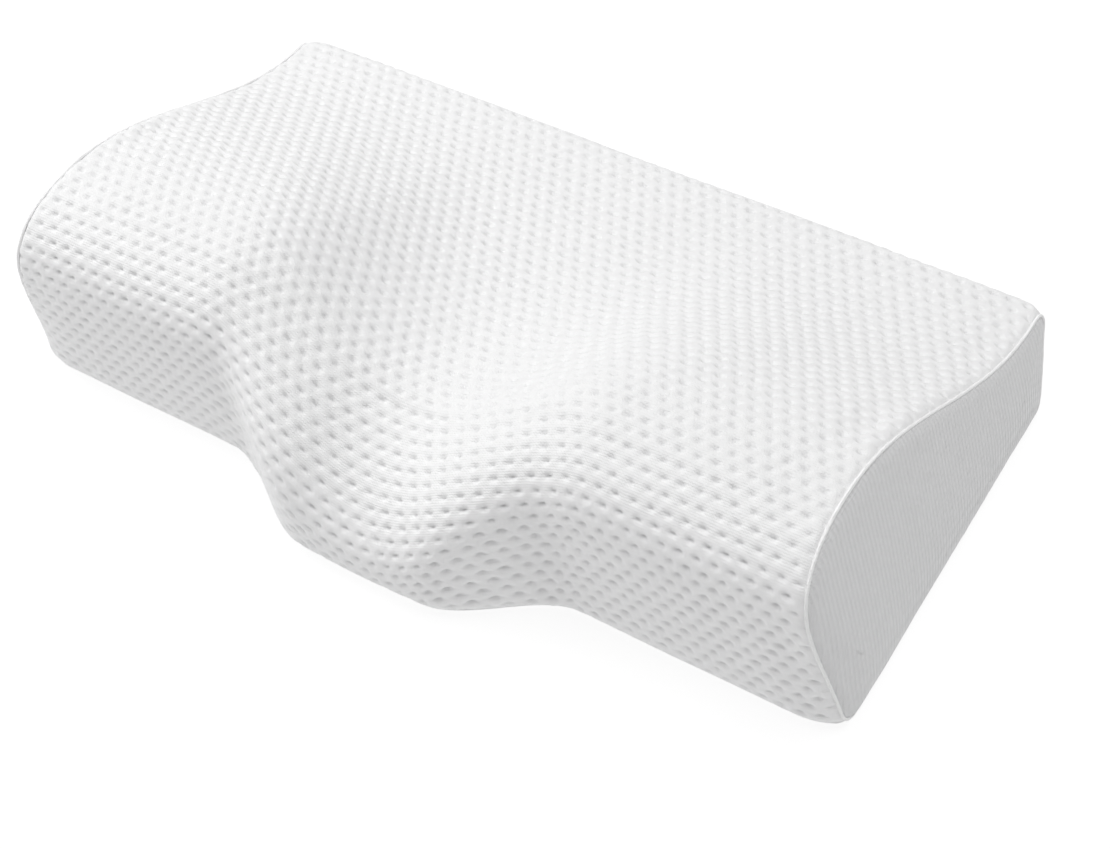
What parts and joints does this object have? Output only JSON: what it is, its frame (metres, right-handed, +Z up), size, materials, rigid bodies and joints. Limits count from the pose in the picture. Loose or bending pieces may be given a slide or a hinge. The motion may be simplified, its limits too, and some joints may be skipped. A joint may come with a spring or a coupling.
{
  "type": "contoured neck pillow",
  "caption": "Butterfly-shaped foam neck pillow with raised wings, a low lobe under the neck, a dimpled knitted cover with plain end panels, and a zipper along the back.",
  "frame": {"origin": "on the surface the pillow rests on, under the middle of its box", "axes": "+X along the pillow, -Y towards the neck side, +Z up"},
  "size_m": [0.4968, 0.294, 0.124],
  "materials": {
    "foam": "open-cell foam",
    "liner_knit": "fine knit",
    "cover_knit": "dimpled air-layer knit",
    "end_knit": "plain knit with fine ribs",
    "seam_fabric": "turned seam",
    "zip_tape": "woven",
    "zip_nylon": "nylon",
    "thread": "sewing thread",
    "slider_metal": "white enamel",
    "pull_metal": "white enamel"
  },
  "bodies": {
    "pillow": {"foam_core": "foam", "liner_wrap": "liner_knit", "liner_end_left": "liner_knit", "liner_end_right": "liner_knit", "cover_wrap": "cover_knit", "cover_base": "cover_knit", "cover_end_left": "end_knit", "cover_end_right": "end_knit", "end_seam_left": "seam_fabric", "end_seam_right": "seam_fabric", "base_seam_front": "seam_fabric", "base_seam_back": "seam_fabric", "zip_tape_upper": "zip_tape", "zip_tape_lower": "zip_tape", "zip_coil_upper": "zip_nylon", "zip_coil_lower": "zip_nylon", "zip_stop_left": "zip_nylon", "zip_stop_right": "zip_nylon", "zip_stitch_upper": "thread", "zip_stitch_lower": "thread", "zip_tack_left": "thread", "zip_tack_right": "thread"},
    "slider": {"slider_body": "slider_metal"},
    "pull": {"pull_tab": "pull_metal"}
  },
  "joints": [
    {"name": "slider_slide", "type": "slide", "parent": "pillow", "child": "slider", "axis": [-1, 0, 0], "range_m": [0, 0.403]},
    {"name": "pull_hinge", "type": "hinge", "parent": "slider", "child": "pull", "pos_m": [0.202, 0.14356, 0.02751], "axis": [0, -0.2588, -0.9659], "range_deg": [0, 178]}
  ]
}
